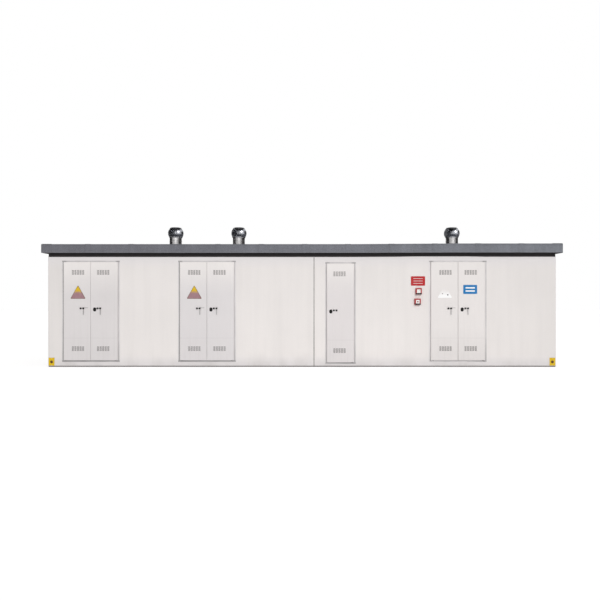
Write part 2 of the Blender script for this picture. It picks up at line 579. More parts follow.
def moulded_leaf(finish, colours, door):
    """Moulded glass-fibre leaf: chalky top, grime lower down, faint runs, a seam and an orange-peel skin."""
    low, high = first_leaf_box(door)
    seam = low.z + bpy.context.scene.substation.doors.seam_z
    finish.start(getattr(colours, f"leaf_{door}"), 0.5)
    z = finish.axis("Z")
    finish.paint(finish.span(z, high.z - 0.7, high.z - 0.03, 0.0, 0.95), colours.wall)
    finish.shade(finish.span(z, low.z, low.z + 0.7, DOOR_WEAR[door].leaf_foot, 1.0))
    finish.shade(finish.span(z, high.z - 0.5, high.z - 0.1, 1.0, DOOR_WEAR[door].leaf_top))
    clouds = finish.noise(1.3, detail=4.0, stretch=(1.0, 1.0, 0.6))
    finish.shade(finish.span(clouds, 0.3, 0.7, 0.975, 1.02))
    runs = finish.span(finish.noise(1.0, detail=4.0, stretch=(22.0, 22.0, 0.8)), 0.52, 0.76)
    grimy = finish.span(z, low.z + 0.05, low.z + 1.2, 1.0, 0.35)
    finish.paint(finish.times(finish.times(runs, grimy), 0.11), (0.4, 0.37, 0.35))
    finish.shade(finish.span(finish.away(z, seam), 0.002, 0.009, 0.93, 1.0))
    mottle = finish.noise(60.0, detail=4.0)
    finish.shade(finish.span(mottle, 0.3, 0.7, 0.985, 1.015))
    finish.relief(finish.noise(2.2, detail=2.0), 0.004, 0.35)
    finish.relief(finish.noise(260.0, detail=2.0), 0.0006, 0.7)
    finish.gloss(finish.span(clouds, 0.3, 0.7, 0.42, 0.6))


def louvre_paint(finish, colours, door):
    """The leaf's own finish on its louvre lips, with soot on those of the lower grille."""
    moulded_leaf(finish, colours, door)
    low = first_leaf_box(door)[0]
    finish.shade(finish.span(finish.axis("Z"), low.z + 0.6, low.z + 0.7, DOOR_WEAR[door].soot, 1.0))


def aged_rubber(finish, colours):
    """Old black rubber with dust in its pores."""
    finish.start(colours.rubber, 0.7, specular=0.2)
    finish.shade(finish.span(finish.noise(30.0, detail=4.0), 0.3, 0.7, 0.8, 1.4))
    finish.relief(finish.noise(200.0, detail=2.0), 0.0003, 0.5)


def moulded_frame(finish, colours, door):
    """Moulded frame with grime up its jambs and round the head's pivots, and a worn threshold."""
    corner, far_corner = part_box(f"door_{door}_frame")
    low, wear = corner.z, DOOR_WEAR[door]
    finish.start(colours.door_frame, 0.55)
    x = finish.axis("X")
    finish.shade(finish.span(x, corner.x, far_corner.x, wear.left_jamb, wear.right_jamb))
    finish.shade(finish.span(finish.noise(5.0, detail=5.0, stretch=(1.0, 1.0, 0.4)), 0.3, 0.7, 0.88, 1.08))
    z = finish.axis("Z")
    finish.shade(finish.span(z, low + 0.05, low + 0.5, 0.86, 1.0))
    finish.shade(finish.span(z, low + 0.038, low + 0.044, wear.threshold, 1.0))
    left_end = finish.span(x, corner.x + 0.06, corner.x + 0.11, 1.0, 0.0)
    right_end = finish.span(x, far_corner.x - 0.11, far_corner.x - 0.06)
    head = finish.span(z, far_corner.z - 0.034, far_corner.z - 0.03, 0.0, 0.45)
    finish.paint(finish.times(finish.calc("MAXIMUM", left_end, right_end), head), (0.2, 0.19, 0.19))
    finish.relief(finish.noise(240.0, detail=2.0), 0.0003, 0.5)


def galvanised_neck(finish, colours):
    """Galvanised sheet: frost-like spangle, drawn lines round the tube, dull patches."""
    finish.start(colours.neck, 0.38, metallic=1.0)
    finish.shade(finish.span(finish.cells(48.0), 0.0, 1.0, 0.86, 1.1))
    finish.shade(finish.span(finish.noise(6.0, detail=5.0), 0.35, 0.72, 1.05, 0.74))
    drawn = finish.noise(18.0, detail=3.0, stretch=(0.2, 0.2, 9.0))
    finish.gloss(finish.span(drawn, 0.3, 0.7, 0.22, 0.42))
    finish.relief(drawn, 0.0004, 0.5)


def spun_head(finish, colours, head):
    """Polished sheet of the turning heads, tarnished in patches and dark on the cap."""
    finish.start(colours.rotor, 0.2, metallic=1.0)
    tarnish = finish.span(finish.noise(11.0, detail=5.0), 0.4, 0.7)
    finish.paint(finish.times(tarnish, HEAD_TARNISH[head]), (0.11, 0.11, 0.115))
    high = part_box("vent_rotor_1")[1]
    crown = finish.span(finish.axis("Z"), high.z - 0.034, high.z - 0.026)
    finish.paint(finish.times(crown, 0.85), (0.085, 0.086, 0.09))
    finish.gloss(finish.span(finish.calc("MAXIMUM", tarnish, crown), 0.0, 1.0, 0.21, 0.4))
    finish.relief(finish.noise(26.0, detail=3.0), 0.0006, 0.4)


def dull_zinc(finish, colours):
    """Dull plated steel with darker rub marks."""
    finish.start(colours.zinc, 0.42, metallic=0.85)
    marks = finish.span(finish.noise(55.0, detail=4.0), 0.4, 0.72)
    finish.paint(finish.times(marks, 0.5), (0.12, 0.115, 0.11))
    finish.gloss(finish.span(marks, 0.0, 1.0, 0.35, 0.6))


def plated_handle(finish, colours):
    """Pale plated handles, dulled in spots."""
    finish.start(colours.handle, 0.45, metallic=0.6)
    spots = finish.span(finish.noise(70.0, detail=4.0), 0.42, 0.72)
    finish.paint(finish.times(spots, 0.4), (0.3, 0.29, 0.28))
    finish.gloss(finish.span(spots, 0.0, 1.0, 0.4, 0.6))


def wire_screen(finish, colours):
    """Woven insect screen, dark and dusty."""
    finish.start(colours.screen, 0.7)
    weave = finish.times(finish.waves("X", 190.0), finish.waves("Z", 190.0))
    finish.shade(finish.span(weave, 0.0, 0.6, 0.5, 1.5))
    finish.shade(finish.span(finish.noise(12.0, detail=4.0), 0.3, 0.7, 0.8, 1.25))
    finish.relief(weave, 0.0006, 0.8)


def black_moulding(finish, colours):
    """Black moulded plastic, greyed by weather."""
    finish.start(colours.black, 0.55, specular=0.2)
    worn = finish.span(finish.noise(60.0, detail=4.0), 0.45, 0.75)
    finish.paint(finish.times(worn, 0.15), (0.08, 0.078, 0.076))
    finish.relief(finish.noise(420.0, detail=2.0), 0.0002, 0.5)


def call_box_red(finish, colours):
    """Red moulded boxes, clouded by weather."""
    finish.start(colours.call_red, 0.33, specular=0.35)
    finish.shade(finish.span(finish.noise(24.0, detail=4.0), 0.3, 0.7, 0.85, 1.1))
    finish.relief(finish.noise(300.0, detail=2.0), 0.0002, 0.4)


def call_panel_white(finish, colours):
    """White moulded panels, yellowed a little."""
    finish.start(colours.call_white, 0.3)
    finish.shade(finish.span(finish.noise(30.0, detail=3.0), 0.3, 0.7, 0.95, 1.03))
    finish.relief(finish.noise(300.0, detail=2.0), 0.0001, 0.4)


def sheet_aluminium(finish, colours):
    """Thin rolled aluminium, dull and a little scratched."""
    finish.start(colours.aluminium, 0.4, metallic=0.9)
    rolled = finish.noise(40.0, detail=3.0, stretch=(0.15, 1.0, 6.0))
    finish.shade(finish.span(rolled, 0.3, 0.7, 0.88, 1.08))
    finish.gloss(finish.span(rolled, 0.3, 0.7, 0.32, 0.5))


def weather_enamel(finish):
    """Bleaches enamel in patches and specks it."""
    bleached = finish.span(finish.noise(16.0, detail=4.0, stretch=(1.0, 1.0, 0.5)), 0.45, 0.8)
    finish.paint(finish.times(bleached, 0.06), (0.8, 0.78, 0.76))
    finish.shade(finish.span(finish.noise(260.0, detail=2.0), 0.66, 0.74, 1.0, 0.86))
    finish.gloss(finish.span(bleached, 0.0, 1.0, 0.3, 0.5))


def enamel(finish, colours, shade):
    """Plain enamel on a plate."""
    finish.start(getattr(colours, shade), 0.36, specular=0.3)
    weather_enamel(finish)


def faded_enamel(finish, colours):
    """Enamel on the triangular plates, which turns from mauve at the foot to yellow at the tip."""
    plates = bpy.context.scene.substation.plates
    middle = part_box("door_1_left_leaf")[0].z + plates.triangle_z + plates.fade_z
    finish.start(colours.mauve, 0.36, specular=0.3)
    cloudy = finish.span(finish.noise(34.0, detail=4.0), 0.3, 0.7, -0.016, 0.016)
    height = finish.calc("ADD", finish.axis("Z"), cloudy)
    half = plates.fade_h / 2
    finish.paint(finish.span(height, middle - half, middle + half), colours.yellow)
    weather_enamel(finish)


def bleached_enamel(finish, colours):
    """White enamel that the weather has worn to the colour of the leaf behind, most of all at its top."""
    finish.start(colours.white, 0.42)
    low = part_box("door_4_left_leaf")[0].z + bpy.context.scene.substation.plates.triangle_z
    worn = finish.span(finish.axis("Z"), low + 0.06, low + 0.2)
    patches = finish.span(finish.noise(22.0, detail=4.0), 0.35, 0.65, -0.2, 0.2)
    finish.paint(finish.calc("ADD", worn, finish.times(patches, worn)), colours.leaf_4)
    finish.gloss(finish.span(worn, 0.0, 1.0, 0.38, 0.55))


def dark_card(finish, colours):
    """Black cloth on the cards round the stage."""
    finish.start(colours.strip, 0.9, specular=0.1)
    finish.shade(finish.span(finish.noise(2.0), 0.3, 0.7, 0.9, 1.1))


def material(recipe, *choice):
    """The material that a recipe makes, made once and named after it."""
    name = "_".join([recipe.__name__, *choice])
    found = bpy.data.materials.get(name)
    if found:
        return found
    finish = Finish(name)
    recipe(finish, bpy.context.scene.substation.colours, *choice)
    return finish.done()


def dress(finish, *nodes):
    """Gives CAD nodes a finish."""
    for name in nodes:
        for holder in frame["nodes"][name].material_slots:
            holder.material = finish


def wall_nodes():
    """The nodes that are painted concrete wall."""
    walls = [name for name in frame["nodes"] if name.startswith(("front_wall_", "rear_wall_"))]
    return walls + ["door_lintels", "door_sills", "left_end_wall", "right_end_wall"]


def loft(mesh, rings, paint=0):
    """Adds a closed skin through rings of points, with a flat cap at each end."""
    loops = [[mesh.verts.new(point) for point in ring] for ring in rings]
    sides = len(loops[0])
    faces = [mesh.faces.new(loops[0][::-1]), mesh.faces.new(loops[-1])]
    for near, far in zip(loops, loops[1:]):
        for i in range(sides):
            j = (i + 1) % sides
            faces.append(mesh.faces.new((near[i], near[j], far[j], far[i])))
    for face in faces:
        face.material_index = paint


def keep(name, mesh, finishes):
    """Turns a mesh under work into an object at the origin, with faces that point outwards."""
    bmesh.ops.recalc_face_normals(mesh, faces=mesh.faces)
    for face in mesh.faces:
        face.smooth = True
    data = bpy.data.meshes.new(name)
    mesh.to_mesh(data)
    mesh.free()
    data.set_sharp_from_angle(angle=SMOOTH_ANGLE)
    for finish in finishes:
        data.materials.append(finish)
    made = bpy.data.objects.new(name, data)
    bpy.context.scene.collection.objects.link(made)
    return made


def fit(piece, body):
    """Lets a piece ride on a body and names the record's slot for its finish."""
    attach(piece, body)
    return piece


def round_points(centre, radius, sides):
    """Points of a circle about a centre, as pairs."""
    steps = (2.0 * math.pi * i / sides for i in range(sides))
    return [(centre[0] + radius * math.cos(turn), centre[1] + radius * math.sin(turn)) for turn in steps]


def at_front(points, y):
    """Puts flat points on an upright plane that faces the front."""
    return [Vector((x, y, z)) for x, z in points]


def dome(mesh, centre, y, radius, height, sides=12, paint=0):
    """A round head that stands out of an upright face."""
    profile = ((1.0, 0.0), (1.0, 0.3), (0.86, 0.66), (0.55, 0.92), (0.2, 1.0))
    loft(mesh, [at_front(round_points(centre, radius * r, sides), y - height * h) for r, h in profile], paint)


def inset(points, distance):
    """Points of a convex outline, moved inwards."""
    least_cosine = 0.2
    moved = []
    for before, here, after in zip(points[-1:] + points[:-1], points, points[1:] + points[:1]):
        first = (Vector(here) - Vector(before)).normalized()
        second = (Vector(after) - Vector(here)).normalized()
        inward = (Vector((-first.y, first.x)) + Vector((-second.y, second.x))).normalized()
        reach = distance / max(inward.dot(Vector((-first.y, first.x))), least_cosine)
        moved.append(tuple(Vector(here) + inward * reach))
    return moved


def soften(points, radius, steps=5):
    """A convex outline with its corners rounded."""
    rounded = []
    for before, here, after in zip(points[-1:] + points[:-1], points, points[1:] + points[:1]):
        corner = Vector(here)
        to_before = (Vector(before) - corner).normalized()
        to_after = (Vector(after) - corner).normalized()
        half = to_before.angle(to_after) / 2.0
        centre = corner + (to_before + to_after).normalized() * (radius / math.sin(half))
        first = corner + to_before * (radius / math.tan(half)) - centre
        last = corner + to_after * (radius / math.tan(half)) - centre
        for i in range(steps + 1):
            part = first.lerp(last, i / steps).normalized() * radius
            rounded.append(tuple(centre + part))
    return rounded


def rectangle(x, z, width, height):
    """Corners of a rectangle from the middle of its foot."""
    return [(x - width / 2, z), (x + width / 2, z), (x + width / 2, z + height), (x - width / 2, z + height)]


def triangle(x, z, width, height):
    """Corners of a triangle from the middle of its foot."""
    return [(x - width / 2, z), (x + width / 2, z), (x, z + height)]


def sheet_plate(mesh, outline, y, thickness, bevel, paint=0):
    """A thin plate with a bevelled edge, on an upright face."""
    inner = inset(outline, bevel)
    rings = [at_front(outline, y), at_front(outline, y - thickness + bevel), at_front(inner, y - thickness)]
    loft(mesh, rings, paint)


class Leaf:
    """Where a door leaf lies: its box, the side it hangs on and places on its outer face."""

    def __init__(self, body):
        doors = bpy.context.scene.substation.doors
        self.body = body
        self.door = body.split("_")[1]
        self.low, self.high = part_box(body + "_leaf")
        self.side = -1.0 if body.endswith("_left") else 1.0
        self.face = self.low.y
        self.free_edge = self.low.x if self.side > 0 else self.high.x
        self.hinge_edge = self.high.x if self.side > 0 else self.low.x
        self.middle = (self.low.x + self.high.x) / 2 - self.side * doors.shift

    def from_edge(self, distance):
        """A place across the leaf, measured from its free edge."""
        return self.free_edge + self.side * distance


def new_tree(name, sockets):
    """An empty tree of geometry nodes with named inputs."""
    tree = bpy.data.node_groups.new(name, "GeometryNodeTree")
    for title, kind in sockets:
        tree.interface.new_socket(name=title, in_out="INPUT", socket_type=kind)
    tree.interface.new_socket(name="Geometry", in_out="OUTPUT", socket_type="NodeSocketGeometry")
    return tree, tree.nodes.new("NodeGroupInput").outputs


def close_tree(tree, geometry, finish):
    """Ends a tree: real copies, their material, and the output."""
    real = tree.nodes.new("GeometryNodeRealizeInstances")
    painted = tree.nodes.new("GeometryNodeSetMaterial")
    tree.links.new(geometry, real.inputs["Geometry"])
    tree.links.new(real.outputs["Geometry"], painted.inputs["Geometry"])
    tree.links.new(finish, painted.inputs["Material"])
    tree.links.new(painted.outputs["Geometry"], tree.nodes.new("NodeGroupOutput").inputs["Geometry"])
    return tree


def block_tree():
    """Copies of a shape in columns, rows and blocks."""
    found = bpy.data.node_groups.get("copies_in_blocks")
    if found:
        return found
    levels = ("Columns", "Rows", "Blocks")
    sockets = [("Shape", "NodeSocketObject"), ("Material", "NodeSocketMaterial")]
    sockets.append(("Corner", "NodeSocketVector"))
    for level in levels:
        sockets += [(level, "NodeSocketInt"), (level + " Step", "NodeSocketVector")]
    tree, given = new_tree("copies_in_blocks", sockets)
    shape = tree.nodes.new("GeometryNodeObjectInfo")
    tree.links.new(given["Shape"], shape.inputs["Object"])
    geometry = shape.outputs["Geometry"]
    for level in levels:
        line = tree.nodes.new("GeometryNodeMeshLine")
        copies = tree.nodes.new("GeometryNodeInstanceOnPoints")
        tree.links.new(given[level], line.inputs["Count"])
        tree.links.new(given[level + " Step"], line.inputs["Offset"])
        if level == "Blocks":
            tree.links.new(given["Corner"], line.inputs["Start Location"])
        tree.links.new(line.outputs["Mesh"], copies.inputs["Points"])
        tree.links.new(geometry, copies.inputs["Instance"])
        geometry = copies.outputs["Instances"]
    return close_tree(tree, geometry, given["Material"])


def ring_tree():
    """Copies of a shape round an upright axis, each turned to face outwards."""
    found = bpy.data.node_groups.get("copies_in_a_ring")
    if found:
        return found
    tree, given = new_tree("copies_in_a_ring", [
        ("Shape", "NodeSocketObject"), ("Material", "NodeSocketMaterial"), ("Centre", "NodeSocketVector"),
        ("Count", "NodeSocketInt"), ("Radius", "NodeSocketFloat")])
    shape = tree.nodes.new("GeometryNodeObjectInfo")
    ring = tree.nodes.new("GeometryNodeMeshCircle")
    index = tree.nodes.new("GeometryNodeInputIndex")
    share = tree.nodes.new("ShaderNodeMath")
    share.operation = "DIVIDE"
    turn = tree.nodes.new("ShaderNodeMath")
    turn.operation = "MULTIPLY"
    turn.inputs[1].default_value = 2.0 * math.pi
    facing = tree.nodes.new("ShaderNodeCombineXYZ")
    copies = tree.nodes.new("GeometryNodeInstanceOnPoints")
    moved = tree.nodes.new("GeometryNodeTransform")
    for start, end in (
            (given["Shape"], shape.inputs["Object"]), (given["Count"], ring.inputs["Vertices"]),
            (given["Radius"], ring.inputs["Radius"]), (index.outputs[0], share.inputs[0]),
            (given["Count"], share.inputs[1]), (share.outputs[0], turn.inputs[0]),
            (turn.outputs[0], facing.inputs["Z"]), (ring.outputs["Mesh"], copies.inputs["Points"]),
            (shape.outputs["Geometry"], copies.inputs["Instance"]),
            (facing.outputs[0], copies.inputs["Rotation"]),
            (copies.outputs["Instances"], moved.inputs["Geometry"]),
            (given["Centre"], moved.inputs["Translation"])):
        tree.links.new(start, end)
    return close_tree(tree, moved.outputs["Geometry"], given["Material"])


def copies(name, tree, shape, **values):
    """Runs a tree once and keeps what it makes as a plain mesh."""
    holder = bpy.data.objects.new(name, bpy.data.meshes.new(name))
    bpy.context.scene.collection.objects.link(holder)
    modifier = holder.modifiers.new("copies", "NODES")
    modifier.node_group = tree
    values["Shape"] = shape
    for socket in tree.interface.items_tree:
        if socket.in_out == "INPUT":
            modifier[socket.identifier] = values[socket.name]
    evaluated = holder.evaluated_get(bpy.context.evaluated_depsgraph_get())
    holder.data = bpy.data.meshes.new_from_object(evaluated)
    holder.modifiers.clear()
    return holder


def join(name, pieces):
    """Makes one object of several pieces."""
    mesh = bmesh.new()
    finishes = []
    for piece in pieces:
        held = [slot.material for slot in piece.material_slots]
        finishes += [finish for finish in held if finish not in finishes]
        first = len(mesh.faces)
        mesh.from_mesh(piece.data)
        mesh.faces.ensure_lookup_table()
        for face in mesh.faces[first:]:
            face.material_index = finishes.index(held[face.material_index])
        bpy.data.objects.remove(piece)
    return keep(name, mesh, finishes)


class FeltSheet:
    """One felt sheet under work: a grid of points with an outer and an inner face, and a rim round it."""

    def __init__(self, mesh, bleed):
        self.mesh = mesh
        self.bleed = bleed

    def lay(self, columns, rows, place, is_open):
        """place gives the outer point, the inner point and the bitumen at a column and row."""
        outer, inner = {}, {}
        for i in range(columns):
            for j in range(rows):
                top, under, bitumen = place(i, j)
                outer[i, j] = self.mesh.verts.new(top)
                inner[i, j] = self.mesh.verts.new(under)
                outer[i, j][self.bleed] = bitumen
        cells = {(i, j) for i in range(columns - 1) for j in range(rows - 1) if not is_open(i, j)}
        for i, j in cells:
            corners = [(i, j), (i + 1, j), (i + 1, j + 1), (i, j + 1)]
            self.mesh.faces.new([outer[c] for c in corners])
            self.mesh.faces.new([inner[c] for c in corners[::-1]])
            beside = [(i, j - 1), (i + 1, j), (i, j + 1), (i - 1, j)]
            for k, cell in enumerate(beside):
                if cell not in cells:
                    a, b = corners[k], corners[(k + 1) % 4]
                    self.mesh.faces.new((outer[b], outer[a], inner[a], inner[b]))
        loose = [vert for vert in list(outer.values()) + list(inner.values()) if not vert.link_faces]
        for vert in loose:
            self.mesh.verts.remove(vert)


def even(first, last, steps):
    """Values spaced evenly from the first to the last."""
    return [first + (last - first) * i / steps for i in range(steps + 1)]


def wrap_path(half, low, high, chamfer, stops):
    """The way over the roof from one hem to the other: place across, height and outward direction."""
    mitre = math.tan(math.pi / 8)
    up = [(-half, z, (-1.0, 0.0)) for z in even(low, high - 2 * chamfer, 5)]
    edge = [(-half, high - chamfer, (-1.0, mitre)), (-half + chamfer, high, (-mitre, 1.0))]
    top = [(y, high, (0.0, 1.0)) for y in stops]
    rising = up + edge
    falling = [(-y, z, (-out[0], out[1])) for y, z, out in reversed(rising)]
    return rising + top + falling


def vent_centres():
    """The axis of each vent, as points on the roof."""
    boxes = [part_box(f"vent_rotor_{i + 1}") for i in range(len(VENT_BODIES))]
    return [Vector(((low.x + high.x) / 2, (low.y + high.y) / 2, ROOF_HIGH.z)) for low, high in boxes]


def kerb_rise(x, y, roof):
    """How far the felt stands up over the low kerb along the front, which grows towards the right."""
    along = min(max((x - roof.kerb_start) / roof.kerb_run, 0.0), 1.0)
    across = min(max((ROOF_LOW.y + roof.kerb_w - y) / roof.kerb_w, 0.0), 1.0)
    return roof.kerb * along * across * across * (3.0 - 2.0 * across)


def uneven(size, *place):
    """A random length from nothing to a size, which changes smoothly from place to place."""
    return size * (0.5 + 0.5 * noise.noise(Vector(place)))


def felt_over_roof(mesh, bleed, roof):
    """The sheets that run from the front hem to the rear hem, each lapped over the one before."""
    start = ROOF_LOW.x + roof.chamfer
    step = (ROOF_HIGH.x - ROOF_LOW.x - 2 * roof.chamfer) / roof.sheets
    half = ROOF_HIGH.y
    inner_stops = even(-half + 3 * roof.chamfer, -roof.duct, 14)
    stops = inner_stops + [-y for y in reversed(inner_stops)]
    path = wrap_path(half, ROOF_LOW.z, ROOF_HIGH.z, roof.chamfer, stops)
    centres = vent_centres()
    for k in range(roof.sheets):
        x0 = start + k * step
        x1 = x0 + step
        first, last = k == 0, k == roof.sheets - 1
        raised = 0.0 if first else 1.0
        lines = [(x0, raised, 0.9 * raised), (x0 + roof.edge, raised, 0.0), (x0 + roof.lap, raised, 0.0)]
        middle = [(x, 0.0, 0.0) for x in even(x0 + roof.lap + roof.clear, x1 - roof.clear, 6)]
        for centre in centres:
            if x0 < centre.x < x1:
                middle += [(centre.x + side * reach, 0.0, 0.0)
                           for side in (-1, 1) for reach in (roof.duct, roof.duct + roof.ring, roof.collar)]
        lines += [line for line in sorted(middle) if x0 + roof.lap < line[0] < x1 - roof.clear_end]
        lines += [(x1 - roof.edge, 0.0, 0.0), (x1, 0.0, 0.0 if last else 1.0)]
        if not last:
            lines.append((x1 + 0.7 * roof.lap, 0.0, 1.0))

        def place(i, j):
            """The outer point, the inner point and the bitumen where line i crosses step j of the way."""
            x, lift, bitumen = lines[i]
            y, z, out = path[j]
            stray = noise.noise(Vector((7.0 * k, 3.0 * y, 3.0 * z))) * roof.wave
            if not first and i < 2 or not last and i > len(lines) - 4:
                x += stray if i < 2 else noise.noise(Vector((7.0 * (k + 1), 3.0 * y, 3.0 * z))) * roof.wave
            for centre in centres:
                gap = max(abs(x - centre.x), abs(y - centre.y)) - roof.duct
                if i < len(lines) - 1 or last:
                    slope = roof.collar - roof.duct - roof.level
                    lift = max(lift, 1.0 - max(gap - roof.level, 0.0) / slope)
            dip = uneven(roof.ripple, 2.2 * x, 2.2 * y, 5.0 * z) * (1.0 - lift)
            depth = roof.sheet_t * (1.0 - lift) + dip
            if j in (0, len(path) - 1):
                z += uneven(roof.hem, 4.0 * x, 9.0, 2.0 * k)
                z += roof.kerb_hem * kerb_rise(x, y, roof)
            elif out[1] > 0.0:
                z += kerb_rise(x, y, roof)
            top = Vector((x, y - out[0] * depth, z - out[1] * depth))
            deeper = depth + roof.sheet_t
            under = Vector((x, y - out[0] * deeper, z - out[1] * deeper))
            return top, under, bitumen

        def is_open(i, j):
            """Whether the cell lies over a vent's opening."""
            x = (lines[i][0] + lines[i + 1][0]) / 2
            y = (path[j][0] + path[j + 1][0]) / 2
            on_top = path[j][2][0] == 0.0 and path[j + 1][2][0] == 0.0
            return on_top and any(max(abs(x - c.x), abs(y - c.y)) < roof.duct for c in centres)

        FeltSheet(mesh, bleed).lay(len(lines), len(path), place, is_open)


def felt_over_ends(mesh, bleed, roof):
    """The sheets that fold from the roof's top down over its two ends."""
    across = even(ROOF_LOW.y + roof.sheet_t, ROOF_HIGH.y - roof.sheet_t, 26)
    for side in (-1.0, 1.0):
        stops = even(-ROOF_HIGH.x + 3 * roof.chamfer, -ROOF_HIGH.x + roof.end_fold, 5)
        path = wrap_path(ROOF_HIGH.x, ROOF_LOW.z, ROOF_HIGH.z, roof.chamfer, stops)
        path = path[:len(path) // 2 + len(stops) // 2]

        def place(i, j):
            """The outer point, the inner point and the bitumen at step i across and step j of the way."""
            x, z, out = path[j]
            y = across[i]
            lift = 1.0 if out[0] == 0.0 else 0.0
            if j == len(path) - 1:
                x += noise.noise(Vector((3.0 * y, 2.0, side))) * roof.wave
            if j == 0:
                z += uneven(roof.hem, 4.0 * y, 9.0, side)
            dip = uneven(roof.ripple, side, 2.2 * y, 5.0 * z) * (1.0 - lift)
            depth = roof.sheet_t * (1.0 - lift) + dip
            if out[1] > 0.0:
                z += kerb_rise(-side * x, y, roof)
            top = Vector((-side * (x - out[0] * depth), y, z - out[1] * depth))
            deeper = depth + roof.sheet_t
            under = Vector((-side * (x - out[0] * deeper), y, z - out[1] * deeper))
            return top, under, 1.0 if j == len(path) - 1 else 0.0

        FeltSheet(mesh, bleed).lay(len(across), len(path), place, lambda i, j: False)


class SUBSTATION_OT_walls(bpy.types.Operator):
    """Gives the walls, floor, slabs, strips and filled joints their finishes"""

    bl_idname = "substation.walls"
    bl_label = "Finish walls and floor"

    def execute(self, context):
        dress(material(rendered_concrete), *wall_nodes())
        dress(material(floated_concrete), "floor_slabs", "roof_slab_left", "roof_slab_right")
        dress(material(bitumen_coat), "base_strips", "roof_seat_strips")
        dress(material(joint_sealant), "module_joint_seals")
        return {"FINISHED"}


class SUBSTATION_OT_roof(bpy.types.Operator):
    """Lays the felt sheets over the roof and its edges"""

    bl_idname = "substation.roof"
    bl_label = "Lay roof felt"

    def execute(self, context):
        mesh = bmesh.new()
        bleed = mesh.verts.layers.float.new("bleed")
        roof = context.scene.substation.roof
        felt_over_roof(mesh, bleed, roof)
        felt_over_ends(mesh, bleed, roof)
        felt = fit(keep("roof_felt_sheets", mesh, [material(mineral_felt)]), ROOT)
        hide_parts("roof_felt")
        return {"FINISHED"}


def upright_rings(profile, radius, sides):
    """Level rings round the upright axis, from pairs of width and height as shares of a radius."""
    return [[Vector((x, y, high * radius)) for x, y in round_points((0.0, 0.0), wide * radius, sides)]
            for wide, high in profile]


def upright_screw(vents):
    """A hexagon-headed screw on its washer, pointing up."""
    mesh = bmesh.new()
    loft(mesh, upright_rings(((1.0, 0.0), (1.0, 0.12), (0.82, 0.2)), vents.screw_r, 12))
    loft(mesh, upright_rings(((0.62, 0.15), (0.62, 0.6), (0.5, 0.68)), vents.screw_r, 6))
    return keep("screw_shape", mesh, [])


def outward_rivet(radius):
    """A domed rivet that points along X."""
    mesh = bmesh.new()
    profile = ((1.0, -0.2), (1.0, 0.15), (0.75, 0.5), (0.35, 0.68))
    loft(mesh, [[Vector((out * radius, y, z)) for y, z in round_points((0.0, 0.0), wide * radius, 10)]
                for wide, out in profile])
    return keep("rivet_shape", mesh, [])


def front_rivet(radius):
    """A domed rivet that points to the front."""
    mesh = bmesh.new()
    dome(mesh, (0.0, 0.0), 0.0, radius, RIVET_RISE * radius, sides=10)
    return keep("plate_rivet_shape", mesh, [])


def sealant_ring(mesh, centre, radius, thick):
    """A hand-run bead of sealant round an upright axis."""
    steps, sides = 72, 8
    flat_foot = 0.0005
    grid = []
    for i in range(steps):
        turn = 2.0 * math.pi * i / steps
        lump = noise.noise(Vector((centre.x, 1.5 * math.cos(turn), 1.5 * math.sin(turn))))
        here = thick * (1.0 + 0.35 * lump)
        ring = []
        for j in range(sides):
            lean = 2.0 * math.pi * j / sides
            out = radius + here * math.cos(lean)
            rise = max(here * math.sin(lean), flat_foot)
            ring.append(mesh.verts.new(centre + Vector((out * math.cos(turn), out * math.sin(turn), rise))))
        grid.append(ring)
    for i in range(steps):
        near, far = grid[i], grid[(i + 1) % steps]
        for j in range(sides):
            k = (j + 1) % sides
            mesh.faces.new((near[j], far[j], far[k], near[k]))


class SUBSTATION_OT_vents(bpy.types.Operator):
    """Finishes the vents and adds their screws, rivets and sealant"""

    bl_idname = "substation.vents"
    bl_label = "Finish roof vents"

    def execute(self, context):
        vents = context.scene.substation.vents
        rotors = [f"vent_rotor_{i + 1}" for i in range(len(VENT_BODIES))]
        dress(material(galvanised_neck), "vent_necks")
        dress(material(dull_zinc), "vent_spindles")
        for i, rotor in enumerate(rotors):
            dress(material(spun_head, str(i + 1)), rotor)
        screw = upright_screw(vents)
        rivet = outward_rivet(vents.rivet_r)
        beads = bmesh.new()
        rings = []
        for i, centre in enumerate(vent_centres()):
            rings.append(copies(
                f"flange_screws_{i + 1}", ring_tree(), screw, Material=material(dull_zinc),
                Centre=centre + Vector((0, 0, vents.flange_t)), Count=vents.screws, Radius=vents.screw_ring))
            sealant_ring(beads, centre, vents.flange_r, vents.bead)
            ring_middle = Vector((centre.x, centre.y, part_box(rotors[i])[0].z + vents.ring_mid))
            head = copies(
                f"vent_rotor_{i + 1}_rivets", ring_tree(), rivet, Material=material(galvanised_neck),
                Centre=ring_middle, Count=vents.rivets, Radius=vents.ring_r)
            fit(head, VENT_BODIES[i])
        fit(join("vent_flange_screws", rings), ROOT)
        fit(keep("vent_sealant_beads", beads, [material(bitumen_coat)]), ROOT)
        bpy.data.objects.remove(screw)
        bpy.data.objects.remove(rivet)
        return {"FINISHED"}


def louvre_lip(doors):
    """The curved lip over one slot of a grille, with ends that run down to the leaf."""
    mesh = bmesh.new()
    arc = [math.pi / 2 * i / 4 for i in range(5)]
    ends = ((-1.0, 0.1), (-0.9, 0.75), (-0.7, 1.0), (0.7, 1.0), (0.9, 0.75), (1.0, 0.1))
    rings = []
    for across, share in ends:
        x = across * doors.lip_w / 2
        out, drop = doors.lip_out * share, doors.lip_h * (0.6 + 0.4 * share)
        outer = [(-out * math.sin(a), doors.lip_rise - drop * (1.0 - math.cos(a))) for a in arc]
        inner = [(y + doors.lip_t, z - doors.lip_t * 0.4) for y, z in reversed(outer)]
        rings.append([Vector((x, y, z)) for y, z in outer + inner])
    loft(mesh, rings)
    return keep("lip_shape", mesh, [])


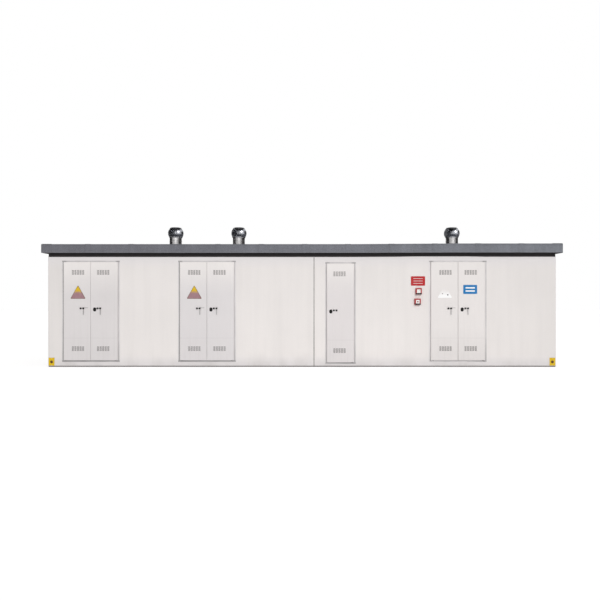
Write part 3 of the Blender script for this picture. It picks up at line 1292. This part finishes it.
class SUBSTATION_OT_doors(bpy.types.Operator):
    """Finishes leaves, frames, handles and locks, and adds lips, screens, seals, brushes, roses and caps"""

    bl_idname = "substation.doors"
    bl_label = "Finish doors"

    def execute(self, context):
        doors = context.scene.substation.doors
        lip = louvre_lip(doors)
        for leaf in map(Leaf, LEAF_BODIES):
            dress(material(moulded_leaf, leaf.door), leaf.body + "_leaf")
            dress(material(plated_handle), leaf.body + "_handle")
            self.grilles(leaf, lip, doors)
            self.screens(leaf, doors)
            self.caps(leaf, doors)
            self.brushes(leaf, doors)
            if leaf.side < 0:
                self.gasket(leaf, doors)
            else:
                self.rose(leaf, doors)
        bpy.data.objects.remove(lip)
        for door in DOOR_NUMBERS:
            dress(material(moulded_frame, door), f"door_{door}_frame")
            dress(material(black_moulding), f"door_{door}_lock")
        self.seals(doors)
        self.anchors(doors)
        return {"FINISHED"}

    def grilles(self, leaf, lip, doors):
        """The lips of a leaf's two grilles."""
        low = leaf.low.z + doors.low_grille
        high = leaf.high.z - doors.high_grille
        corner = Vector((leaf.middle - doors.column_step * (doors.columns - 1) / 2, leaf.face,
                         low - doors.row_step * (doors.rows - 1) / 2))
        lips = copies(
            leaf.body + "_louvre_lips", block_tree(), lip, Material=material(louvre_paint, leaf.door),
            Corner=corner, Columns=doors.columns, Rows=doors.rows, Blocks=2,
            **{"Columns Step": (doors.column_step, 0, 0), "Rows Step": (0, 0, doors.row_step),
               "Blocks Step": (0, 0, high - low)})
        fit(lips, leaf.body)

    def screens(self, leaf, doors):
        """The insect screens behind a leaf's two grilles, each with a hem round it."""
        mesh = bmesh.new()
        y = leaf.face + doors.skin + doors.screen_t
        front = leaf.face + doors.skin
        for z in (leaf.low.z + doors.low_grille, leaf.high.z - doors.high_grille):
            sheet = rectangle(leaf.middle, z - doors.screen_h / 2, doors.screen_w, doors.screen_h)
            outline = soften(sheet, doors.screen_r)
            inner = inset(outline, doors.screen_hem)
            rings = [at_front(outline, y), at_front(outline, front + doors.screen_bevel),
                     at_front(inset(outline, 1.5 * doors.screen_bevel), front), at_front(inner, front),
                     at_front(inset(inner, doors.screen_slope), y - doors.screen_t / 2)]
            loft(mesh, rings)
        fit(keep(leaf.body + "_grille_screens", mesh, [material(wire_screen)]), leaf.body)

    def gasket(self, leaf, doors):
        """The soft strip that fills most of the gap where two leaves meet."""
        mesh = bmesh.new()
        bulb = [math.pi * i / 8 for i in range(9)]
        plan = [(leaf.free_edge + doors.gasket_w * math.sin(turn),
                 leaf.face + doors.gasket_in - doors.gasket_d / 2 * math.cos(turn)) for turn in bulb]
        heights = even(leaf.low.z + doors.gasket_end, leaf.high.z - doors.gasket_end, 4)
        loft(mesh, [[Vector((x, y, z)) for x, y in plan] for z in heights])
        finish = material(moulded_frame, leaf.door) if leaf.body in PALE_GASKETS else material(joint_sealant)
        fit(keep(leaf.body + "_gasket", mesh, [finish]), leaf.body)

    def brushes(self, leaf, doors):
        """The brushes along a leaf's upper and lower edges, which close most of the gap to the frame."""
        mesh = bmesh.new()
        near = leaf.hinge_edge - leaf.side * doors.brush_in
        middle = leaf.face + doors.brush_back + doors.brush_d / 2
        for z, height in ((leaf.high.z, doors.brush_top), (leaf.low.z, -doors.brush_foot)):
            rings = []
            for share, slim in ((0.0, 1.0), (0.6, 1.0), (1.0, 0.6)):
                half = doors.brush_d * slim / 2
                corners = [(near, middle - half), (leaf.free_edge, middle - half),
                           (leaf.free_edge, middle + half), (near, middle + half)]
                rings.append([Vector((x, y, z + height * share)) for x, y in corners])
            loft(mesh, rings)
        brushes = keep(leaf.body + "_edge_brushes", mesh, [material(moulded_frame, leaf.door)])
        fit(brushes, leaf.body)

    def rose(self, leaf, doors):
        """The oval rose behind a lock."""
        mesh = bmesh.new()
        low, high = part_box(f"door_{leaf.door}_lock")
        foot = (low.z + high.z - doors.rose_h) / 2
        oval = rectangle((low.x + high.x) / 2, foot, doors.rose_w, doors.rose_h)
        outline = soften(oval, 0.48 * doors.rose_w, 10)
        sheet_plate(mesh, outline, leaf.face, doors.rose_t, doors.rose_bevel)
        fit(keep(leaf.body + "_lock_rose", mesh, [material(black_moulding)]), leaf.body)

    def seals(self, doors):
        """The soft seals up the hinge sides of the frames, round-fronted, clear of the round hinge edges."""
        mesh = bmesh.new()
        front = [math.pi / 2 * i / 4 for i in range(5)]
        for number, door in enumerate(DOOR_NUMBERS):
            for leaf in (Leaf(body) for body in LEAF_BODIES if body.split("_")[1] == door):
                jamb = leaf.hinge_edge + leaf.side * doors.hinge_gap
                near, far = WALL_FACE - doors.seal_out, WALL_FACE + doors.seal_d
                plan = [(jamb, far), (jamb, near)]
                plan += [(jamb - leaf.side * doors.seal_t * math.sin(turn),
                          near + doors.seal_t * (1.0 - math.cos(turn))) for turn in front[1:]]
                plan.append((jamb - leaf.side * doors.seal_t, far))
                rings = [[Vector((x, y, z)) for x, y in plan] for z in even(leaf.low.z, leaf.high.z, 4)]
                loft(mesh, rings, len(DOOR_NUMBERS) if leaf.body in AGED_SEALS else number)
        finishes = [material(moulded_frame, door) for door in DOOR_NUMBERS] + [material(aged_rubber)]
        fit(keep("frame_hinge_seals", mesh, finishes), ROOT)

    def caps(self, leaf, doors):
        """The dark caps on a handle's two studs."""
        mesh = bmesh.new()
        for distance in (doors.stud_near, doors.stud_near + doors.stud_gap):
            centre = (leaf.from_edge(distance), leaf.low.z + doors.handle_z)
            foot = leaf.face - doors.stud_out + doors.cap_sink
            dome(mesh, centre, foot, doors.cap_r, doors.cap_h, sides=16)
        fit(keep(leaf.body + "_stud_caps", mesh, [material(black_moulding)]), leaf.body)

    def anchors(self, doors):
        """The caps over the anchors in both jambs of each frame."""
        shape = front_rivet(doors.anchor_r)
        rows = []
        for door in DOOR_NUMBERS:
            low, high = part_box(f"door_{door}_frame")
            corner = Vector((low.x + doors.anchor_in, low.y, low.z + doors.anchor_end))
            step = (high.z - low.z - 2 * doors.anchor_end) / (doors.anchors - 1)
            rows.append(copies(
                f"anchors_{door}", block_tree(), shape, Material=material(moulded_frame, door),
                Corner=corner, Columns=2, Rows=doors.anchors, Blocks=1,
                **{"Columns Step": (high.x - low.x - 2 * doors.anchor_in, 0, 0), "Rows Step": (0, 0, step),
                   "Blocks Step": (0, 0, 0)}))
        fit(join("frame_anchor_caps", rows), ROOT)
        bpy.data.objects.remove(shape)


class SUBSTATION_OT_plates(bpy.types.Operator):
    """Adds the enamelled plates to the leaves and the wall, with plain fields and no lettering"""

    bl_idname = "substation.plates"
    bl_label = "Add plates"

    def execute(self, context):
        plates = context.scene.substation.plates
        leaves = {body: Leaf(body) for body in LEAF_BODIES}
        for body in ("door_1_left", "door_2_left"):
            self.triangle_plate(leaves[body], plates)
        self.bleached_plate(leaves["door_4_left"], plates)
        self.blue_plate(leaves["door_4_right"], plates)
        self.red_plate(plates)
        self.corner_plates(plates)
        return {"FINISHED"}

    def field(self, mesh, outline, y, plates, paint):
        """A thin field of enamel; each paint lies on the one before it, and the first on the bare sheet."""
        face = y - plates.sheet_t - (paint - 1) * plates.print_t
        rings = [at_front(outline, face + plates.print_in), at_front(outline, face - plates.print_t)]
        loft(mesh, rings, paint)

    def sheet(self, mesh, outline, y, rim, plates):
        """A bare sheet with a field of enamel inside its rim."""
        sheet_plate(mesh, outline, y, plates.sheet_t, plates.bevel)
        self.field(mesh, inset(outline, rim), y, plates, 1)

    def stripes(self, mesh, foot, height, how_many, thick, plates):
        """Plain pale stripes of one length, evenly spread over a plate's height."""
        x, y, z = foot
        for i in range(1, how_many + 1):
            low = z + height * i / (how_many + 1) - thick / 2
            outline = soften(rectangle(x, low, plates.stripe_w, thick), plates.stripe_r * thick, 3)
            self.field(mesh, outline, y, plates, 2)

    def rivets(self, mesh, places, y, plates):
        """Rivets through a plate."""
        for place in places:
            dome(mesh, place, y - plates.sheet_t, plates.rivet_r, RIVET_RISE * plates.rivet_r, sides=10)

    def corner_rivets(self, mesh, foot, width, height, inside, plates):
        """Rivets near a plate's four corners."""
        x, y, z = foot
        across, up = width / 2 - inside, height / 2 - inside
        places = [(x + side * across, z + height / 2 + end * up) for side in (-1, 1) for end in (-1, 1)]
        self.rivets(mesh, places, y, plates)

    def triangle_plate(self, leaf, plates):
        """A bare triangular plate, its enamel mauve at the foot and yellow at the tip."""
        mesh = bmesh.new()
        x, y, z = leaf.middle, leaf.face, leaf.low.z + plates.triangle_z
        outline = soften(triangle(x, z, plates.triangle_w, plates.triangle_h), plates.triangle_r)
        self.sheet(mesh, outline, y, plates.triangle_rim, plates)
        places = [(x + side * plates.foot_rivet_x, z + plates.foot_rivet_z) for side in (-1, 1)]
        self.rivets(mesh, places + [(x, z + plates.tip_rivet_z)], y, plates)
        finishes = [material(enamel, "brown"), material(faded_enamel)]
        fit(keep(leaf.body + "_plate", mesh, finishes), leaf.body)

    def bleached_plate(self, leaf, plates):
        """A white triangular plate, bare, held by two dark rivets."""
        mesh = bmesh.new()
        x, y = leaf.middle - plates.bleached_shift, leaf.face
        z = leaf.low.z + plates.triangle_z + plates.bleached_rise
        outline = soften(triangle(x, z, plates.bleached_w, plates.bleached_h), plates.triangle_r)
        sheet_plate(mesh, outline, y, plates.sheet_t, plates.bevel)
        # Place across, height above the plate's foot and radius of each rivet
        dark_rivets = ((-0.052, 0.09, 0.009), (0.062, 0.066, 0.014))
        for across, up, radius in dark_rivets:
            place = (x + across, z + up)
            dome(mesh, place, y - plates.sheet_t, radius, plates.dark_rivet_h, sides=16, paint=1)
        finishes = [material(bleached_enamel), material(black_moulding)]
        fit(keep(leaf.body + "_plate", mesh, finishes), leaf.body)

    def blue_plate(self, leaf, plates):
        """A blue plate with two plain pale stripes."""
        mesh = bmesh.new()
        x, y, z = leaf.middle - plates.blue_shift, leaf.face, leaf.low.z + plates.blue_z
        outline = soften(rectangle(x, z, plates.blue_w, plates.blue_h), plates.blue_r)
        self.sheet(mesh, outline, y, plates.blue_rim, plates)
        self.stripes(mesh, (x, y, z), plates.blue_h, 2, plates.blue_stripe_h, plates)
        self.corner_rivets(mesh, (x, y, z), plates.blue_w, plates.blue_h, plates.blue_rivet_in, plates)
        finishes = [material(sheet_aluminium), material(enamel, "blue"), material(enamel, "white")]
        fit(keep(leaf.body + "_plate", mesh, finishes), leaf.body)

    def red_plate(self, plates):
        """A red plate with three plain pale stripes, over the call boxes."""
        mesh = bmesh.new()
        x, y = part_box("call_point_panels")[1].x - plates.red_shift, WALL_FACE
        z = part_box("call_points")[1].z + plates.red_rise
        outline = soften(rectangle(x, z, plates.red_w, plates.red_h), plates.corner_r)
        self.sheet(mesh, outline, y, plates.rim, plates)
        self.stripes(mesh, (x, y, z), plates.red_h, 3, plates.red_stripe_h, plates)
        self.corner_rivets(mesh, (x, y, z), plates.red_w, plates.red_h, plates.red_rivet_in, plates)
        finishes = [material(sheet_aluminium), material(enamel, "red"), material(enamel, "pale")]
        fit(keep("wall_red_plate", mesh, finishes), ROOT)

    def corner_plates(self, plates):
        """The yellow plates at the foot of both ends of the front, each with a plain brown stud."""
        mesh = bmesh.new()
        y, z = WALL_FACE, WALL_LOW.z + plates.corner_z
        stud_foot = y - plates.sheet_t - plates.print_t + plates.print_in
        for side in (-1.0, 1.0):
            x = side * (WALL_END - plates.corner_in - plates.corner_w / 2)
            outline = soften(rectangle(x, z, plates.corner_w, plates.corner_h), plates.corner_r)
            self.sheet(mesh, outline, y, plates.rim, plates)
            stud = (x, z + plates.corner_h * plates.stud_z)
            dome(mesh, stud, stud_foot, plates.stud_r, plates.stud_h, sides=20, paint=2)
            ends = (plates.corner_rivet_in, plates.corner_h - plates.corner_rivet_in)
            self.rivets(mesh, [(x, z + end) for end in ends], y, plates)
        finishes = [material(sheet_aluminium), material(enamel, "yellow"), material(enamel, "brown")]
        fit(keep("corner_plates", mesh, finishes), ROOT)


class SUBSTATION_OT_call_boxes(bpy.types.Operator):
    """Finishes the call boxes and adds their screws, lips, button and stud"""

    bl_idname = "substation.call_boxes"
    bl_label = "Finish call boxes"

    def execute(self, context):
        dress(material(call_box_red), "call_points")
        dress(material(call_panel_white), "call_point_panels")
        boxes = context.scene.substation.call_boxes
        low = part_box("call_points")[0]
        panel_low, panel_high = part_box("call_point_panels")
        half_w, half_h = boxes.panel_w / 2, boxes.panel_h / 2
        rim_w, rim_h = panel_low.x - low.x, panel_low.z - low.z
        upper = (panel_high.x - half_w, panel_high.z - half_h)
        lower = (panel_low.x + half_w, panel_low.z + half_h)
        mesh = bmesh.new()
        for x, z in (upper, lower):
            for side in (-1, 1):
                for end in (-1, 1):
                    place = (x + side * (half_w + rim_w / 2), z + end * (half_h + rim_h / 2))
                    dome(mesh, place, low.y, boxes.screw_r, boxes.screw_h, sides=10, paint=1)
            lip = rectangle(x, z - half_h - rim_h, 2 * (half_w + rim_w), boxes.lip_h)
            sheet_plate(mesh, soften(lip, boxes.lip_t, 3), low.y, boxes.lip_t, boxes.lip_bevel, 2)
        dome(mesh, lower, panel_low.y, boxes.ring_r, boxes.ring_h, sides=24, paint=1)
        dome(mesh, lower, panel_low.y - boxes.button_out, boxes.button_r, boxes.button_h, sides=24)
        stud = (upper[0] + boxes.stud_x, upper[1] + boxes.stud_z)
        dome(mesh, stud, panel_low.y, boxes.stud_r, boxes.stud_h, sides=16, paint=1)
        finishes = [material(call_box_red), material(dull_zinc), material(enamel, "dark_red")]
        fit(keep("call_box_trim", mesh, finishes), ROOT)
        return {"FINISHED"}


def seen_directly(nodes, links):
    """One for rays that show the surface as a picture, and nought for rays that only carry light."""
    path = nodes.new("ShaderNodeLightPath")
    total = path.outputs["Is Camera Ray"]
    for name in ("Is Glossy Ray", "Is Transmission Ray"):
        more = nodes.new("ShaderNodeMath")
        more.operation = "MAXIMUM"
        links.new(total, more.inputs[0])
        links.new(path.outputs[name], more.inputs[1])
        total = more.outputs[0]
    return total


class SUBSTATION_OT_stage(bpy.types.Operator):
    """Builds the floor, the sky, the sun, the dark cards and the camera"""

    bl_idname = "substation.stage"
    bl_label = "Build stage"

    def execute(self, context):
        stage = context.scene.substation.stage
        context.scene.view_settings.view_transform = "Standard"
        self.floor(stage)
        self.sky(context, stage)
        self.sun(context, stage)
        self.cards(stage)
        self.camera(context, stage)
        return {"FINISHED"}

    def floor(self, stage):
        """A plain pale floor that keeps the shadow and looks white in full light."""
        mesh = bmesh.new()
        half = stage.floor_size / 2
        corners = ((-half, -half), (half, -half), (half, half), (-half, half))
        mesh.faces.new([mesh.verts.new((x, y, 0.0)) for x, y in corners])
        finish = Finish("studio_floor")
        finish.start((stage.floor_white,) * 3, 0.9)
        finish.shade(finish.span(finish.noise(0.5), 0.3, 0.7, 0.995, 1.005))
        glow = finish.times(seen_directly(finish.nodes, finish.links), stage.floor_glow)
        finish.surface.inputs["Emission Color"].default_value = (1.0, 1.0, 1.0, 1.0)
        finish.feed(finish.surface.inputs["Emission Strength"], glow)
        keep("studio_floor", mesh, [finish.done()])

    def sky(self, context, stage):
        """A white surround to look at, and softer light from it."""
        world = bpy.data.worlds.new("studio_sky")
        world.use_nodes = True
        nodes, links = world.node_tree.nodes, world.node_tree.links
        background = nodes["Background"]
        background.inputs["Color"].default_value = (1.0, 1.0, 1.0, 1.0)
        strength = nodes.new("ShaderNodeMapRange")
        strength.inputs["To Min"].default_value = stage.sky
        strength.inputs["To Max"].default_value = 1.0
        links.new(seen_directly(nodes, links), strength.inputs["Value"])
        links.new(strength.outputs["Result"], background.inputs["Strength"])
        context.scene.world = world

    def sun(self, context, stage):
        """A wide soft sun from the front right."""
        lamp = bpy.data.lights.new("soft_sun", "SUN")
        lamp.energy = stage.sun
        lamp.angle = stage.sun_width
        sun = bpy.data.objects.new("soft_sun", lamp)
        side, level = stage.sun_side, math.cos(stage.sun_height)
        towards = Vector((math.sin(side) * level, -math.cos(side) * level, math.sin(stage.sun_height)))
        sun.rotation_euler = towards.to_track_quat("Z", "Y").to_euler()
        context.scene.collection.objects.link(sun)

    def card(self, name, corners):
        """A dark card that only reflections show."""
        mesh = bmesh.new()
        mesh.faces.new([mesh.verts.new(corner) for corner in corners])
        card = keep(name, mesh, [material(dark_card)])
        card.visible_camera = card.visible_diffuse = card.visible_transmission = card.visible_shadow = False

    def cards(self, stage):
        """Dark cards on both sides and overhead on the left, so that bright metal has dark edges."""
        low, high = stage.card_z, stage.card_h
        front, back = -stage.card_front, stage.card_back
        for x, name in ((-stage.card_x, "left_card"), (stage.card_x, "right_card")):
            self.card(name, [(x, front, low), (x, back, low), (x, back, high), (x, front, high)])
        left, right = -stage.top_card_left, stage.top_card_right
        depth, z = stage.top_card_y, stage.top_card_z
        self.card("top_card", [(left, -depth, z), (right, -depth, z), (right, depth, z), (left, depth, z)])

    def camera(self, context, stage):
        """A level camera in front of the building."""
        view = bpy.data.cameras.new("front_camera")
        view.lens = stage.lens
        view.clip_end = stage.camera_reach
        camera = bpy.data.objects.new("front_camera", view)
        camera.location = (stage.camera_x, stage.camera_y, stage.camera_z)
        camera.rotation_euler = (math.radians(90.0), 0.0, 0.0)
        context.scene.collection.objects.link(camera)
        context.scene.camera = camera


PIECE_OPERATORS = (
    SUBSTATION_OT_walls, SUBSTATION_OT_roof, SUBSTATION_OT_vents, SUBSTATION_OT_doors, SUBSTATION_OT_plates,
    SUBSTATION_OT_call_boxes, SUBSTATION_OT_stage,
)


class SUBSTATION_PT_panel(bpy.types.Panel):
    """Lists the steps that dress the substation"""

    bl_idname = "SUBSTATION_PT_panel"
    bl_label = "Substation"
    bl_space_type = "VIEW_3D"
    bl_region_type = "UI"
    bl_category = "Substation"

    def draw(self, context):
        for operator in PIECE_OPERATORS:
            self.layout.operator(operator.bl_idname)


CLASSES = (
    SUBSTATION_PG_colours, SUBSTATION_PG_roof, SUBSTATION_PG_vents, SUBSTATION_PG_doors, SUBSTATION_PG_plates,
    SUBSTATION_PG_call_boxes, SUBSTATION_PG_stage, SUBSTATION_PG_settings, *PIECE_OPERATORS,
    SUBSTATION_PT_panel,
)


def register():
    """Adds the classes and the scene's settings."""
    for cls in CLASSES:
        bpy.utils.register_class(cls)
    bpy.types.Scene.substation = PointerProperty(type=SUBSTATION_PG_settings)


def unregister():
    """Takes the settings and the classes away again."""
    del bpy.types.Scene.substation
    for cls in reversed(CLASSES):
        bpy.utils.unregister_class(cls)


def main():
    """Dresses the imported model."""
    register()
    bpy.ops.substation.walls()
    bpy.ops.substation.roof()
    bpy.ops.substation.vents()
    bpy.ops.substation.doors()
    bpy.ops.substation.plates()
    bpy.ops.substation.call_boxes()
    bpy.ops.substation.stage()


if __name__ == "__main__":
    main()
